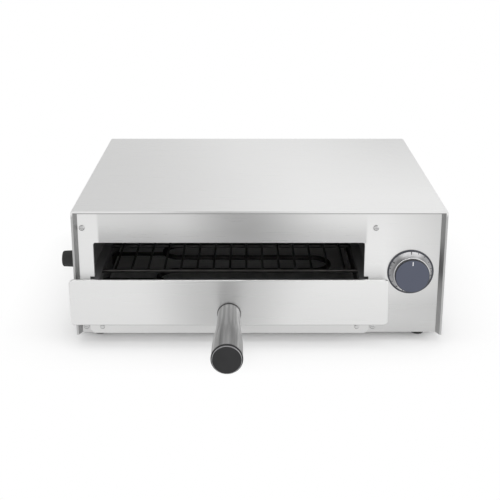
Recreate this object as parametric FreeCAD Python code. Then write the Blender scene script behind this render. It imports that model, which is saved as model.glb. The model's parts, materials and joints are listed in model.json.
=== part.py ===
import FreeCAD
import Part

import math
import os

from FreeCAD import Placement, Rotation, Vector

# A countertop pizza oven: a bent stainless hood over a black chamber, a wire rack that pulls out on a
# front plate with a handle, a crumb tray under it and a clockwork timer in the bay at the right.
# The origin is at the bottom centre of the whole object's box. +X is to the right, +Y to the back and
# +Z up, and the mouth faces -Y. Sizes are in millimetres.

# Sheet and fits
sheet = 1.0              # outer stainless sheet
liner = 0.8              # sheet of the chamber, the tray and the brackets
slide_gap = 0.3          # round a piece that slides
turn_gap = 0.05          # round a shaft or a spigot, on the radius
hole_gap = 0.2           # round a screw in its hole, on the radius

# Baking chamber and the spaces round it
chamber_width = 366.0
chamber_depth = 340.0
chamber_height = 151.0
chamber_flange = 14.0
left_gap = 18.0          # chamber to the hood's outer left side
timer_bay = 96.0         # chamber to the hood's outer right side
rear_gap = 30.0          # chamber to the back of the hood
top_gap = 19.0           # chamber to the top of the hood

# Hood, base and back
hood_bend = 2.5
lip_width = 2.6          # the front lip's flat edge
return_inset = 4.0       # how far the lip's return leans inwards
return_depth = 9.0       # hood front to fascia
rear_flange = 12.0
base_flange = 14.0
back_edge = 4.0          # hood's outer side to the back panel's edge
vent_width = 4.0
vent_length = 34.0
vent_pitch = 12.0
side_vents = 7
back_vents = 9
vent_height = 96.0       # middle of the vents above the base plate

# Mouth in the fascia
mouth_inset = 7.5        # chamber wall to the mouth's side
mouth_drop = 26.5        # chamber roof to the mouth's top
mouth_corner = 3.0
mouth_rim = 6.0          # depth of the turned-in rim
mouth_sill = 5.5         # rack rods to the mouth's bottom
notch_inset = 1.75       # chamber wall to the notch's side
notch_rise = 10.3        # rack rods to the notch's top

# Wire rack and its rails
rack_level = 67.5        # rods above the base plate
rod_diameter = 6.0
rod_inset = 6.0          # chamber wall to the side rods
rod_bend = 14.0
cross_diameter = 5.0
cross_count = 4          # with the rear run of the bent rod
wire_diameter = 3.0
wire_pitch = 22.0
wire_edge_gap = 18.0     # side rod to the first wire
wire_end = 4.0           # wire past the outer cross rods
rack_rear_gap = 8.0      # chamber back to the rear run
rack_first_cross = 45.0  # fascia to the first cross rod
rail_width = 12.0
rail_play = 1.0          # above the rods

# Plate in front of the rack
plate_overlap = 22.3     # past the chamber walls
plate_rise = 14.9        # above the rods
plate_depth = 4.0
plate_gap = 12.0         # plate pan to the hood's front
plate_corner = 6.0
plate_bend = 1.6
plate_lift = 4.7         # tray lip to the plate's lower edge

# Handle
collar_radius = 15.4
collar_length = 2.0
grip_length = 124.0
grip_rear_radius = 14.8
grip_front_radius = 18.8
grip_wall = 1.5
flare_start = 22.0
flare_length = 84.0
cap_radius = 19.2
cap_length = 4.5         # with its raised face
cap_round = 0.8
cap_face_radius = 17.2
cap_face_height = 2.4
cap_face_round = 0.5
spigot_length = 9.0
insert_length = 24.0
handle_clearance = 1.8   # tray lip to the handle
bolt_radius = 3.0
bolt_head_radius = 6.5
bolt_head_height = 4.0

# Crumb tray
tray_inset = 3.0         # chamber wall to the tray
tray_rear_gap = 4.0
lip_height = 17.0
lip_drop = 1.0           # below the hood's edge
lip_overlap = 4.0        # past the tray on each side
lip_chamfer_width = 4.5
lip_chamfer_height = 6.0
lip_cover = 0.8          # above the slot
slot_gap = 1.0           # round the tray in its slot
guide_width = 12.0
guide_inset = 30.0       # tray side to its guide
rivet_inset = 12.0       # tray side to the rivet
rivet_height = 9.0       # above the lip's lower edge
rivet_radius = 3.0
rivet_dome = 1.3
rivet_crown = 0.8        # rounded share of the dome
rivet_shank = 1.6

# Heaters
element_diameter = 7.0
element_pitch = 52.0     # between neighbouring runs
element_start = 87.0     # fascia to the first run
element_reach = 103.0    # chamber middle to the left turns
element_turn_gap = 40.0  # chamber wall to the right turns
lower_element_level = 31.0   # above the base plate
upper_element_drop = 16.0    # below the roof
element_stub = 16.0      # past the chamber wall
bush_radius = 5.0
bush_flange_radius = 8.0
bush_flange = 2.0
bead_radius = 3.2
bead_length = 5.0
pin_radius = 1.6
pin_length = 9.0
bracket_width = 12.0
bracket_sheet = 1.2
bracket_tab = 16.0
bracket_overhang = 6.0   # past the heater's turn

# Timer
timer_inset = 43.4       # hood's outer right side to the timer's axis
timer_height = 85.9      # above the hood's lower edge
timer_size = 44.0
timer_depth = 38.0
boss_radius = 5.0
shaft_radius = 3.0
shaft_seat = 18.0        # shaft inside the timer
shaft_grip = 10.0        # shaft inside the knob
shaft_flat = 0.6
timer_screw_offset = 15.0
timer_screw_radius = 1.5
timer_screw_head = 3.0
timer_screw_length = 8.0
dial_radius = 28.0
dial_thickness = 1.4
rim_width = 2.0
rim_thickness = 2.6
rim_crown = 0.4          # rounded share of the rim's width
knob_radius = 22.5       # at its cap
knob_base_radius = 19.7  # at the dial
knob_step = 0.8          # cap's edge past the body
knob_height = 16.0       # with its cap
knob_round = 2.0
knob_gap = 0.6           # dial to knob
knob_cap_thickness = 5.0
knob_boss_radius = 10.0  # boss inside the cap
knob_boss_height = 2.5
tab_width = 6.3
tab_length = 8.0
tab_spacing = 18.0
tab_rise = 8.0

# Wiring in the right bay
cutout_radius = 8.0
cutout_length = 9.0
cutout_plate_width = 10.0
cutout_plate_height = 30.0
cutout_back = 165.0      # behind the fascia
cutout_screw_spacing = 22.0
cutout_tab_spacing = 9.0
small_screw_radius = 1.4
small_screw_head = 2.6
small_screw_head_height = 1.6
small_screw_length = 4.0
block_length = 50.0
block_width = 20.0
block_height = 16.0
block_groove = 2.0
block_groove_depth = 5.0
block_pole_pitch = 16.0
block_rear_gap = 40.0    # block to the back of the hood
stud_radius = 2.5
stud_height = 14.0
stud_ahead = 50.0        # block to the stud
stud_nut_across = 8.0
stud_nut_height = 4.0
lead_radius = 1.3
lead_bend = 9.0
lead_out = 20.0          # straight run beside the heater pins
lead_run = 22.0          # straight run behind the timer

# Inlet at the back
gland_height = 36.0      # above the base plate
gland_bore = 4.0
gland_thread = 7.8
gland_flange_radius = 11.0
gland_flange = 3.0
gland_dome_radius = 8.6
gland_dome_taper = 1.2
gland_dome = 6.0
gland_tail = 9.0         # inside the back panel
gland_nut_across = 21.0
gland_nut_height = 5.0

# Feet, bumper and fasteners
foot_height = 14.0
foot_radius = 10.0
foot_taper = 1.2
foot_round = 1.0
foot_inset = 25.0        # hood's outer side to the foot's middle
foot_setback = 31.5      # fascia to the front feet
foot_rear_setback = 33.5 # hood's back to the rear feet
foot_seat = 7.0          # counter to the screw's seat
foot_bore = 5.0
bumper_radius = 11.4
bumper_taper = 1.0
bumper_length = 21.6
bumper_round = 2.6
bumper_setback = 45.0    # behind the hood's front
bumper_height = 90.0     # above the hood's lower edge
bumper_seat = 11.0
screw_radius = 2.0
screw_head = 3.6
screw_head_height = 2.2
screw_length = 8.0
recess_width = 0.9
recess_span = 4.4
recess_depth = 1.1
head_crown = 0.45        # rounded share of a screw head's height
nut_across = 7.0
nut_height = 2.2
nut_clearance = 0.8      # over the foot nuts
face_screw_out = 6.0     # outside the chamber wall
face_screw_drop = 6.0    # below the chamber roof
face_screw_rise = 8.6    # above the hood's lower edge
hood_screw_rise = 8.0
hood_screw_setback = 50.0
hood_screws_per_side = 3
back_screw_inset = 6.5
back_screw_margin = 26.0
back_screws_per_side = 3
base_screw_offset = 120.0

# Levels
base_z = foot_height
floor_z = base_z + sheet
roof_z = floor_z + chamber_height
top_z = roof_z + top_gap
rack_z = floor_z + rack_level
mouth_top = roof_z - mouth_drop
mouth_bottom = rack_z - mouth_sill
notch_top = rack_z + notch_rise
lip_bottom = base_z - lip_drop
lip_top = lip_bottom + lip_height
slot_top = lip_top - lip_cover
plate_bottom = lip_top + plate_lift
plate_top = rack_z + plate_rise
handle_z = lip_top + handle_clearance + cap_radius
guide_top = floor_z + nut_height + nut_clearance
tray_z = guide_top + slide_gap
lower_element_z = floor_z + lower_element_level
upper_element_z = roof_z - upper_element_drop
timer_z = base_z + timer_height

# Depths, from the overall box
hood_depth = return_depth + sheet + chamber_depth + rear_gap
handle_length = collar_length + grip_length + cap_length
front_reach = plate_gap + plate_depth + handle_length
rear_reach = sheet + gland_flange + gland_dome
front_y = -(front_reach + hood_depth + rear_reach) / 2 + front_reach
face_y = front_y + return_depth
inside_y = face_y + sheet
chamber_rear_y = inside_y + chamber_depth
back_y = chamber_rear_y + rear_gap
plate_y = front_y - plate_gap - plate_depth

# Widths, from the overall box
hood_width = left_gap + chamber_width + timer_bay
left_x = -(bumper_length + hood_width + screw_head_height) / 2 + bumper_length
right_x = left_x + hood_width
chamber_left = left_x + left_gap
chamber_right = chamber_left + chamber_width
oven_x = (chamber_left + chamber_right) / 2
timer_x = right_x - timer_inset
bay_x = (chamber_right + right_x) / 2
bumper_y = front_y + bumper_setback
bumper_z = base_z + bumper_height
knob_back = face_y - dial_thickness - knob_gap
knob_front = knob_back - knob_height
knob_seat = knob_front + knob_cap_thickness
gland_z = floor_z + gland_height

RIGHT = Vector(1, 0, 0)
LEFT = Vector(-1, 0, 0)
BACK = Vector(0, 1, 0)
FRONT = Vector(0, -1, 0)
UP = Vector(0, 0, 1)
DOWN = Vector(0, 0, -1)
PAST = 5.0               # how far a cutting shape stands out of what it cuts
PARALLEL = 0.999         # least cosine between directions that count as parallel
CLOSE = 1e-4             # distance at which points count as one place


def block(x0, x1, y0, y1, z0, z1):
    return Part.makeBox(x1 - x0, y1 - y0, z1 - z0, Vector(x0, y0, z0))


def drum(radius, start, axis, length):
    return Part.makeCylinder(radius, length, start, axis)


def hole(radius, middle, axis, length):
    """Round cutting shape centred on a point."""
    return Part.makeCylinder(radius, length, middle - axis * (length / 2), axis)


def joined(first, *others):
    fused = first.multiFuse(list(others)).removeSplitter()
    return fused.Solids[0] if len(fused.Solids) == 1 else fused


def less(shape, *tools):
    rest = shape.cut(list(tools))
    return rest.Solids[0] if len(rest.Solids) == 1 else rest


def edges_along(shape, axis):
    """Straight edges of a shape that run along an axis."""
    straight = [e for e in shape.Edges if isinstance(e.Curve, Part.Line)]
    return [e for e in straight if abs(e.Curve.Direction.dot(axis)) > PARALLEL]


def edges_at(shape, axis, place):
    """Edges that lie whole in the plane at a place along an axis."""
    def flat(edge):
        return all(abs(v.Point.dot(axis) - place) < CLOSE for v in edge.Vertexes)
    return [e for e in shape.Edges if flat(e) and abs(e.CenterOfMass.dot(axis) - place) < CLOSE]


def prism(points, travel):
    return Part.Face(Part.makePolygon(points + points[:1])).extrude(travel)


def upright_slot(middle, axis, width, length, depth):
    """Upright slot with round ends, as a cutting shape along an axis."""
    straight = UP * (length / 2 - width / 2)
    side = axis.cross(UP) * (width / 2)
    start = middle - axis * (depth / 2)
    low = start - straight
    high = start + straight
    flat = [low - side, low + side, high + side, high - side]
    ends = [drum(width / 2, start + straight * s, axis, depth) for s in (-1, 1)]
    return joined(prism(flat, axis * depth), *ends)


def bent_rod(points, radius, bend):
    """Round rod along straight runs joined by tangent arcs of one radius."""
    edges = []
    here = points[0]
    for before, corner, after in zip(points, points[1:], points[2:]):
        arrive = (corner - before).normalize()
        leave = (after - corner).normalize()
        half_turn = arrive.getAngle(leave) / 2
        trim = bend * math.tan(half_turn)
        inward = (leave - arrive).normalize()
        middle = corner + inward * (bend / math.cos(half_turn) - bend)
        start = corner - arrive * trim
        end = corner + leave * trim
        if (start - here).Length > CLOSE:
            edges.append(Part.LineSegment(here, start).toShape())
        edges.append(Part.Arc(start, middle, end).toShape())
        here = end
    edges.append(Part.LineSegment(here, points[-1]).toShape())
    section = Part.Wire(Part.makeCircle(radius, points[0], points[1] - points[0]))
    return Part.Wire(edges).makePipeShell([section], True, False)


def pan_screw(seat, outward, radius, head, head_height, length):
    """Cross-recess screw whose head stands on a seat."""
    cap = drum(head, Vector(), UP, head_height)
    cap = cap.makeFillet(head_height * head_crown, edges_at(cap, UP, head_height))
    half = recess_span / 2 * head / screw_head
    thin = recess_width / 2
    low = head_height - recess_depth
    high = head_height + PAST
    cross = [block(-half, half, -thin, thin, low, high), block(-thin, thin, -half, half, low, high)]
    screw = joined(less(cap, *cross), drum(radius, Vector(), DOWN, length))
    screw.Placement = Placement(seat, Rotation(UP, outward))
    return screw


def casing_screw(seat, outward, length=screw_length):
    return pan_screw(seat, outward, screw_radius, screw_head, screw_head_height, length)


def hex_nut(seat, outward, across, height, bore):
    reach = across / math.sqrt(3)
    turns = [math.radians(60 * k) for k in range(6)]
    corners = [Vector(reach * math.cos(a), reach * math.sin(a), 0) for a in turns]
    nut = less(prism(corners, UP * height), drum(bore, Vector(), UP, height))
    nut.Placement = Placement(seat, Rotation(UP, outward))
    return nut


def spread(low, high, count):
    """Evenly spaced places from low to high."""
    return [low + (high - low) * k / (count - 1) for k in range(count)]


# Places shared by screws and the holes that they pass through
screw_hole = screw_radius + hole_gap
face_screw_seats = [
    Vector(x, face_y, z)
    for x in (chamber_left - face_screw_out, chamber_right + face_screw_out)
    for z in (base_z + face_screw_rise, roof_z - face_screw_drop)
]
hood_screw_places = [
    (y, base_z + hood_screw_rise)
    for y in spread(front_y + hood_screw_setback, back_y - hood_screw_setback, hood_screws_per_side)
]
back_screw_seats = [
    Vector(x, back_y + sheet, z)
    for x in (left_x + back_screw_inset, right_x - back_screw_inset)
    for z in spread(base_z + back_screw_margin, top_z - back_screw_margin, back_screws_per_side)
] + [
    Vector((left_x + right_x) / 2 + side * base_screw_offset, back_y + sheet, base_z + hood_screw_rise)
    for side in (-1, 1)
]
foot_places = [
    Vector(x, y, 0)
    for x in (left_x + foot_inset, right_x - foot_inset)
    for y in (face_y + foot_setback, back_y - foot_rear_setback)
]
bumper_base = Vector(left_x, bumper_y, bumper_z)
element_runs = [face_y + element_start + element_pitch * k for k in range(4)]
element_ends = [
    Vector(chamber_right, y, z)
    for z in (lower_element_z, upper_element_z)
    for y in (element_runs[0], element_runs[-1])
]
cutout_base = Vector(chamber_right + liner, face_y + cutout_back, timer_z + tab_rise)
cutout_screw_seats = [
    cutout_base + RIGHT * liner + UP * side * cutout_screw_spacing / 2 for side in (-1, 1)
]
timer_screw_seats = [Vector(timer_x + side * timer_screw_offset, face_y, timer_z) for side in (-1, 1)]
gland_middle = Vector(bay_x, back_y, gland_z)
rivet_seats = [
    Vector(x, face_y - slide_gap - sheet, lip_bottom + rivet_height)
    for x in (chamber_left + tray_inset + rivet_inset, chamber_right - tray_inset - rivet_inset)
]


def front_frame(inset, y, low):
    """Outline of the hood's front, drawn in by an inset, down to a level."""
    corners = [
        Vector(left_x + inset, y, low),
        Vector(right_x - inset, y, low),
        Vector(right_x - inset, y, top_z - inset),
        Vector(left_x + inset, y, top_z - inset),
    ]
    return Part.makePolygon(corners + corners[:1])


def leaning_core(inset, low):
    """Solid inside the lip's leaning return."""
    near = front_frame(inset, front_y, low)
    far = front_frame(inset + return_inset, face_y, low)
    return Part.makeLoft([near, far], True, True)


def hood_outline(inset, y0, y1, low):
    body = block(left_x + inset, right_x - inset, y0, y1, low, top_z - inset)
    bends = [e for e in edges_along(body, BACK) if e.CenterOfMass.z > (low + top_z) / 2]
    return body.makeFillet(hood_bend - inset, bends)


def make_hood():
    outer = hood_outline(0, front_y, back_y, base_z)
    hollow = hood_outline(sheet, front_y + sheet, back_y - sheet, base_z - PAST)
    front_window = block(left_x + lip_width, right_x - lip_width, front_y - PAST, front_y + PAST,
                         base_z - PAST, top_z - lip_width)
    rear_window = block(left_x + rear_flange, right_x - rear_flange, back_y - PAST, back_y + PAST,
                        base_z - PAST, top_z - rear_flange)
    shell = less(outer, hollow, front_window, rear_window)
    lip_return = less(leaning_core(lip_width - sheet, base_z), leaning_core(lip_width, base_z - PAST))
    vents_y = spread(back_y - rear_gap - vent_pitch * side_vents, back_y - rear_gap, side_vents)
    cuts = [
        upright_slot(Vector(right_x, y, floor_z + vent_height), RIGHT, vent_width, vent_length, PAST)
        for y in vents_y
    ]
    cuts += [hole(screw_hole, Vector(x, y, z), RIGHT, PAST)
             for x in (left_x, right_x) for y, z in hood_screw_places]
    cuts.append(hole(screw_hole, bumper_base, RIGHT, PAST))
    cuts += [hole(screw_hole, seat, BACK, PAST) for seat in back_screw_seats]
    return less(joined(shell, lip_return), *cuts)


def mouth_core(grow, y0, y1, low):
    """Solid that fills the mouth, grown sideways and upwards."""
    core = block(chamber_left + mouth_inset - grow, chamber_right - mouth_inset + grow, y0, y1,
                 low, mouth_top + grow)
    upper = [e for e in edges_along(core, BACK) if e.CenterOfMass.z > (low + mouth_top) / 2]
    return core.makeFillet(mouth_corner + grow, upper)


def make_front_panel():
    # a square corner set in this far clears the hood's inside bend
    edge = (hood_bend - sheet) * (1 - math.sqrt(0.5)) + hole_gap
    x0 = left_x + sheet + edge
    x1 = right_x - sheet - edge
    high = top_z - sheet - edge
    face = block(x0, x1, face_y, inside_y, base_z, high)
    flange = block(x0, x1, face_y, inside_y + mouth_rim, high - sheet, high)
    rim = less(mouth_core(sheet, inside_y, inside_y + mouth_rim, notch_top),
               mouth_core(0, inside_y, inside_y + mouth_rim, notch_top - PAST))
    notch = block(chamber_left + notch_inset, chamber_right - notch_inset, face_y - PAST, face_y + PAST,
                  mouth_bottom, notch_top)
    slot = block(chamber_left + tray_inset - slot_gap, chamber_right - tray_inset + slot_gap,
                 face_y - PAST, face_y + PAST, base_z - PAST, slot_top)
    mouth = mouth_core(0, face_y - PAST, face_y + PAST, mouth_bottom)
    timer = Vector(timer_x, face_y, timer_z)
    cuts = [hole(screw_hole, seat, BACK, PAST) for seat in face_screw_seats]
    cuts += [sunk_head(seat, turn_gap) for seat in timer_screw_seats]
    cuts.append(hole(boss_radius + hole_gap, timer, BACK, PAST))
    return less(joined(less(joined(face, flange), mouth, notch, slot), rim), *cuts)


def make_base_plate():
    x0 = left_x + sheet
    x1 = right_x - sheet
    rear = back_y - sheet
    high = base_z + base_flange
    floor = block(x0, x1, inside_y, rear, base_z, floor_z)
    sides = [block(x0, x0 + sheet, inside_y, rear, base_z, high),
             block(x1 - sheet, x1, inside_y, rear, base_z, high)]
    back = block(x0, x1, rear - sheet, rear, base_z, high)
    cuts = [hole(screw_hole, place + UP * base_z, UP, PAST) for place in foot_places]
    cuts += [hole(screw_hole, Vector(x, y, z), RIGHT, PAST)
             for x in (x0, x1) for y, z in hood_screw_places]
    cuts += [hole(screw_hole, seat, BACK, 2 * PAST) for seat in back_screw_seats]
    return less(joined(floor, *sides, back), *cuts)


def make_back_panel():
    panel = block(left_x + back_edge, right_x - back_edge, back_y, back_y + sheet,
                  base_z + sheet, top_z - back_edge)
    span = vent_pitch * (back_vents - 1) / 2
    cuts = [
        upright_slot(Vector(x, back_y, floor_z + vent_height), BACK, vent_width, vent_length, PAST)
        for x in spread(oven_x - span, oven_x + span, back_vents)
    ]
    cuts += [hole(screw_hole, seat, BACK, PAST) for seat in back_screw_seats]
    cuts.append(hole(gland_thread + hole_gap, gland_middle, BACK, PAST))
    return less(panel, *cuts)


def chamber_wall(inner, outward):
    """Side wall of the chamber with flanges turned away from the oven."""
    def span(near, far):
        return sorted((inner + outward * near, inner + outward * far))
    rear = chamber_rear_y
    wall = block(*span(0, liner), inside_y, rear, floor_z, roof_z)
    flanges = [
        block(*span(0, chamber_flange), inside_y, inside_y + liner, floor_z, roof_z),
        block(*span(0, chamber_flange), rear - liner, rear, floor_z, roof_z),
        block(*span(0, chamber_flange), inside_y, rear, floor_z, floor_z + liner),
        block(*span(0, chamber_flange), inside_y, rear, roof_z - liner, roof_z),
    ]
    cuts = [hole(screw_hole, seat, BACK, PAST) for seat in face_screw_seats]
    return less(joined(wall, *flanges), *cuts)


def make_chamber_right_wall():
    cuts = [hole(bush_radius + hole_gap, end, RIGHT, PAST) for end in element_ends]
    cuts += [hole(small_screw_radius + hole_gap, seat, RIGHT, PAST) for seat in cutout_screw_seats]
    return less(chamber_wall(chamber_right, 1), *cuts)


def make_chamber_roof():
    x0 = chamber_left - chamber_flange
    x1 = chamber_right + chamber_flange
    high = roof_z + chamber_flange
    plate = block(x0, x1, inside_y, chamber_rear_y, roof_z, roof_z + liner)
    front = block(x0, x1, inside_y, inside_y + liner, roof_z, high)
    rear = block(x0, x1, chamber_rear_y - liner, chamber_rear_y, roof_z, high)
    return joined(plate, front, rear)


def make_chamber_back():
    return block(chamber_left - chamber_flange, chamber_right + chamber_flange,
                 chamber_rear_y, chamber_rear_y + liner, floor_z, roof_z + chamber_flange)


def rack_rail(wall, inward):
    """Channel along a chamber wall that a side rod of the rack runs in."""
    def span(near, far):
        return sorted((wall + inward * near, wall + inward * far))
    low = rack_z - rod_diameter / 2 - slide_gap
    high = rack_z + rod_diameter / 2 + rail_play
    rear = chamber_rear_y - rack_rear_gap / 2
    web = block(*span(0, sheet), inside_y, rear, low - sheet, high + sheet)
    legs = [block(*span(0, rail_width), inside_y, rear, low - sheet, low),
            block(*span(0, rail_width), inside_y, rear, high, high + sheet)]
    return joined(web, *legs)


rack_left = chamber_left + rod_inset
rack_right = chamber_right - rod_inset
rack_rear = chamber_rear_y - rack_rear_gap
rack_start = face_y + rack_first_cross


def make_rack_frame():
    front = plate_y + sheet
    corners = [Vector(rack_left, front, rack_z), Vector(rack_left, rack_rear, rack_z),
               Vector(rack_right, rack_rear, rack_z), Vector(rack_right, front, rack_z)]
    return bent_rod(corners, rod_diameter / 2, rod_bend)


def make_rack_cross_rods():
    """Rods between the frame's sides, level with the top of its rear run."""
    level = rack_z + (rod_diameter - cross_diameter) / 2
    left = rack_left + rod_diameter / 2
    length = rack_right - rack_left - rod_diameter
    return [drum(cross_diameter / 2, Vector(left, y, level), RIGHT, length)
            for y in spread(rack_start, rack_rear, cross_count)[:-1]]


def make_rack_wires():
    """Long wires on the cross rods and on the frame's rear run."""
    level = rack_z + (rod_diameter + wire_diameter) / 2
    start = rack_start - wire_end
    length = rack_rear - rack_start + 2 * wire_end
    reach = (rack_right - rack_left) / 2 - wire_edge_gap
    each_side = int(reach / wire_pitch)
    return [drum(wire_diameter / 2, Vector(oven_x + k * wire_pitch, start, level), BACK, length)
            for k in range(-each_side, each_side + 1)]


def pan_body(x0, x1, y0, y1, z0, z1, corner):
    body = block(x0, x1, y0, y1, z0, z1)
    return body.makeFillet(corner, edges_along(body, BACK))


def make_rack_front():
    x0 = chamber_left - plate_overlap
    x1 = chamber_right + plate_overlap
    y1 = front_y - plate_gap
    outer = pan_body(x0, x1, plate_y, y1, plate_bottom, plate_top, plate_corner)
    outer = outer.makeFillet(plate_bend, edges_at(outer, BACK, plate_y))
    hollow = pan_body(x0 + sheet, x1 - sheet, plate_y + sheet, y1 + PAST,
                      plate_bottom + sheet, plate_top - sheet, plate_corner - sheet)
    bolt = hole(bolt_radius + hole_gap, Vector(oven_x, plate_y, handle_z), BACK, PAST)
    return less(outer, hollow, bolt)


def handle_at(distance):
    """Point on the handle's axis, in front of the plate."""
    return Vector(oven_x, plate_y - distance, handle_z)


def make_handle_collar():
    ring = drum(collar_radius, handle_at(0), FRONT, collar_length)
    return less(ring, hole(bolt_radius + hole_gap, handle_at(0), BACK, 2 * PAST))


def grip_profile(inward):
    """Edges of the grip's long outline: a straight run, a flare in two arcs and a straight run."""
    rear = grip_rear_radius - inward
    front = grip_front_radius - inward
    rise = front - rear
    middle = flare_start + flare_length / 2
    end = flare_start + flare_length
    bow = rise / 8

    def point(distance, radius):
        return Vector(radius, 0, distance)

    first_arc = Part.Arc(point(flare_start, rear), point(flare_start + flare_length / 4, rear + bow),
                         point(middle, rear + rise / 2))
    second_arc = Part.Arc(point(middle, rear + rise / 2), point(end - flare_length / 4, front - bow),
                          point(end, front))
    run_in = Part.LineSegment(point(0, rear), point(flare_start, rear))
    run_out = Part.LineSegment(point(end, front), point(grip_length, front))
    return [curve.toShape() for curve in (run_in, first_arc, second_arc, run_out)]


def make_handle_grip():
    outer = grip_profile(0)
    inner = grip_profile(grip_wall)
    ends = [
        Part.makeLine(Vector(grip_rear_radius, 0, 0), Vector(grip_rear_radius - grip_wall, 0, 0)),
        Part.makeLine(Vector(grip_front_radius, 0, grip_length),
                      Vector(grip_front_radius - grip_wall, 0, grip_length)),
    ]
    outline = Part.Wire(Part.__sortEdges__(outer + inner + ends))
    grip = Part.Face(outline).revolve(Vector(), UP, 360)
    grip.Placement = Placement(handle_at(collar_length), Rotation(UP, FRONT))
    return grip


def make_handle_cap():
    """Flange on the tube's end with a raised face, and a spigot inside the tube."""
    front = collar_length + grip_length
    flange_length = cap_length - cap_face_height
    flange = drum(cap_radius, Vector(), UP, flange_length)
    flange = flange.makeFillet(cap_round, edges_at(flange, UP, flange_length))
    face = drum(cap_face_radius, Vector(), UP, cap_length)
    face = face.makeFillet(cap_face_round, edges_at(face, UP, cap_length))
    spigot = drum(grip_front_radius - grip_wall - turn_gap, Vector(), DOWN, spigot_length)
    cap = joined(flange, face, spigot)
    cap.Placement = Placement(handle_at(front), Rotation(UP, FRONT))
    return cap


def make_handle_insert():
    plug = drum(grip_rear_radius - grip_wall - turn_gap, handle_at(collar_length), FRONT, insert_length)
    bore = hole(bolt_radius + turn_gap, handle_at(collar_length + insert_length / 2), BACK,
                insert_length + PAST)
    return less(plug, bore)


def make_handle_bolt():
    seat = handle_at(-sheet)
    head = drum(bolt_head_radius, seat, BACK, bolt_head_height)
    shank = drum(bolt_radius, seat, FRONT, sheet + collar_length + insert_length)
    return joined(head, shank)


def make_crumb_tray():
    x0 = chamber_left + tray_inset
    x1 = chamber_right - tray_inset
    y0 = face_y - slide_gap
    y1 = chamber_rear_y - tray_rear_gap
    high = slot_top - slot_gap
    pan = block(x0, x1, y0, y1, tray_z, high)
    hollow = block(x0 + liner, x1 - liner, y0 + liner, y1 - liner, tray_z + liner, high + PAST)
    cuts = [hole(rivet_shank + turn_gap, seat, BACK, 2 * PAST) for seat in rivet_seats]
    return less(pan, hollow, *cuts)


def make_tray_front():
    y = face_y - slide_gap - sheet
    x0 = chamber_left + tray_inset - lip_overlap
    x1 = chamber_right - tray_inset + lip_overlap
    shoulder = lip_bottom + lip_chamfer_height
    lip = prism([
        Vector(x0 + lip_chamfer_width, y, lip_bottom),
        Vector(x1 - lip_chamfer_width, y, lip_bottom),
        Vector(x1, y, shoulder),
        Vector(x1, y, lip_top),
        Vector(x0, y, lip_top),
        Vector(x0, y, shoulder),
    ], BACK * sheet)
    return less(lip, *[hole(rivet_shank + turn_gap, seat, BACK, 2 * PAST) for seat in rivet_seats])


def make_tray_rivets():
    rivets = []
    for seat in rivet_seats:
        head = drum(rivet_radius, seat, FRONT, rivet_dome)
        head = head.makeFillet(rivet_dome * rivet_crown, edges_at(head, FRONT, seat.dot(FRONT) + rivet_dome))
        rivets.append(joined(head, drum(rivet_shank, seat, BACK, sheet + liner)))
    return rivets


def make_tray_guides():
    rear = chamber_rear_y - tray_rear_gap
    inset = tray_inset + guide_inset
    return [block(x - guide_width / 2, x + guide_width / 2, inside_y, rear, floor_z, guide_top)
            for x in (chamber_left + inset, chamber_right - inset)]


def make_element(level):
    """Tubular heater of four runs, with both ends through the right wall."""
    left = oven_x - element_reach
    right = chamber_right - element_turn_gap
    end = chamber_right + liner + element_stub
    first, second, third, fourth = element_runs
    route = [(end, first), (left, first), (left, second), (right, second),
             (right, third), (left, third), (left, fourth), (end, fourth)]
    return bent_rod([Vector(x, y, level) for x, y in route], element_diameter / 2, element_pitch / 2)


def make_element_brackets():
    """Strips from the left wall under the heaters' left turns."""
    brackets = []
    end = oven_x - element_reach + bracket_overhang
    for level in (lower_element_z, upper_element_z):
        top = level - element_diameter / 2
        for y in ((element_runs[0] + element_runs[1]) / 2, (element_runs[2] + element_runs[3]) / 2):
            y0 = y - bracket_width / 2
            y1 = y + bracket_width / 2
            strip = block(chamber_left, end, y0, y1, top - bracket_sheet, top)
            tab = block(chamber_left, chamber_left + bracket_sheet, y0, y1, top - bracket_tab, top)
            brackets.append(joined(strip, tab))
    return brackets


def make_element_bushes():
    bore = element_diameter / 2 + turn_gap
    outside = RIGHT * liner
    bushes = []
    for end in element_ends:
        body = joined(drum(bush_radius, end, RIGHT, liner),
                      drum(bush_flange_radius, end + outside, RIGHT, bush_flange))
        bushes.append(less(body, hole(bore, end, RIGHT, 2 * PAST)))
    return bushes


def make_element_terminals():
    stub = RIGHT * (liner + element_stub)
    bead = RIGHT * bead_length
    return [joined(drum(bead_radius, end + stub, RIGHT, bead_length),
                   drum(pin_radius, end + stub + bead, RIGHT, pin_length))
            for end in element_ends]


def make_timer_body():
    half = timer_size / 2
    rear = inside_y + timer_depth
    case = block(timer_x - half, timer_x + half, inside_y, rear, timer_z - half, timer_z + half)
    axis_start = Vector(timer_x, face_y, timer_z)
    boss = drum(boss_radius, axis_start, BACK, sheet)
    tabs = [block(x - liner / 2, x + liner / 2, rear, rear + tab_length,
                  timer_z + tab_rise - tab_width / 2, timer_z + tab_rise + tab_width / 2)
            for x in timer_tab_places()]
    bore = drum(shaft_radius + turn_gap, axis_start, BACK, shaft_seat + slide_gap)
    pilots = [hole(timer_screw_radius + turn_gap, seat, BACK, 2 * (timer_screw_length + sheet))
              for seat in timer_screw_seats]
    return less(joined(case, boss, *tabs), bore, *pilots)


def timer_tab_places():
    return [timer_x - tab_spacing / 2, timer_x + tab_spacing / 2]


def sunk_head(seat, grow):
    """Countersunk head or its seat in the fascia."""
    return Part.makeCone(timer_screw_head + grow, timer_screw_radius + grow, sheet, seat, BACK)


def make_timer_screws():
    under_head = BACK * sheet
    return [joined(sunk_head(seat, 0),
                   drum(timer_screw_radius, seat + under_head, BACK, timer_screw_length))
            for seat in timer_screw_seats]


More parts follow.
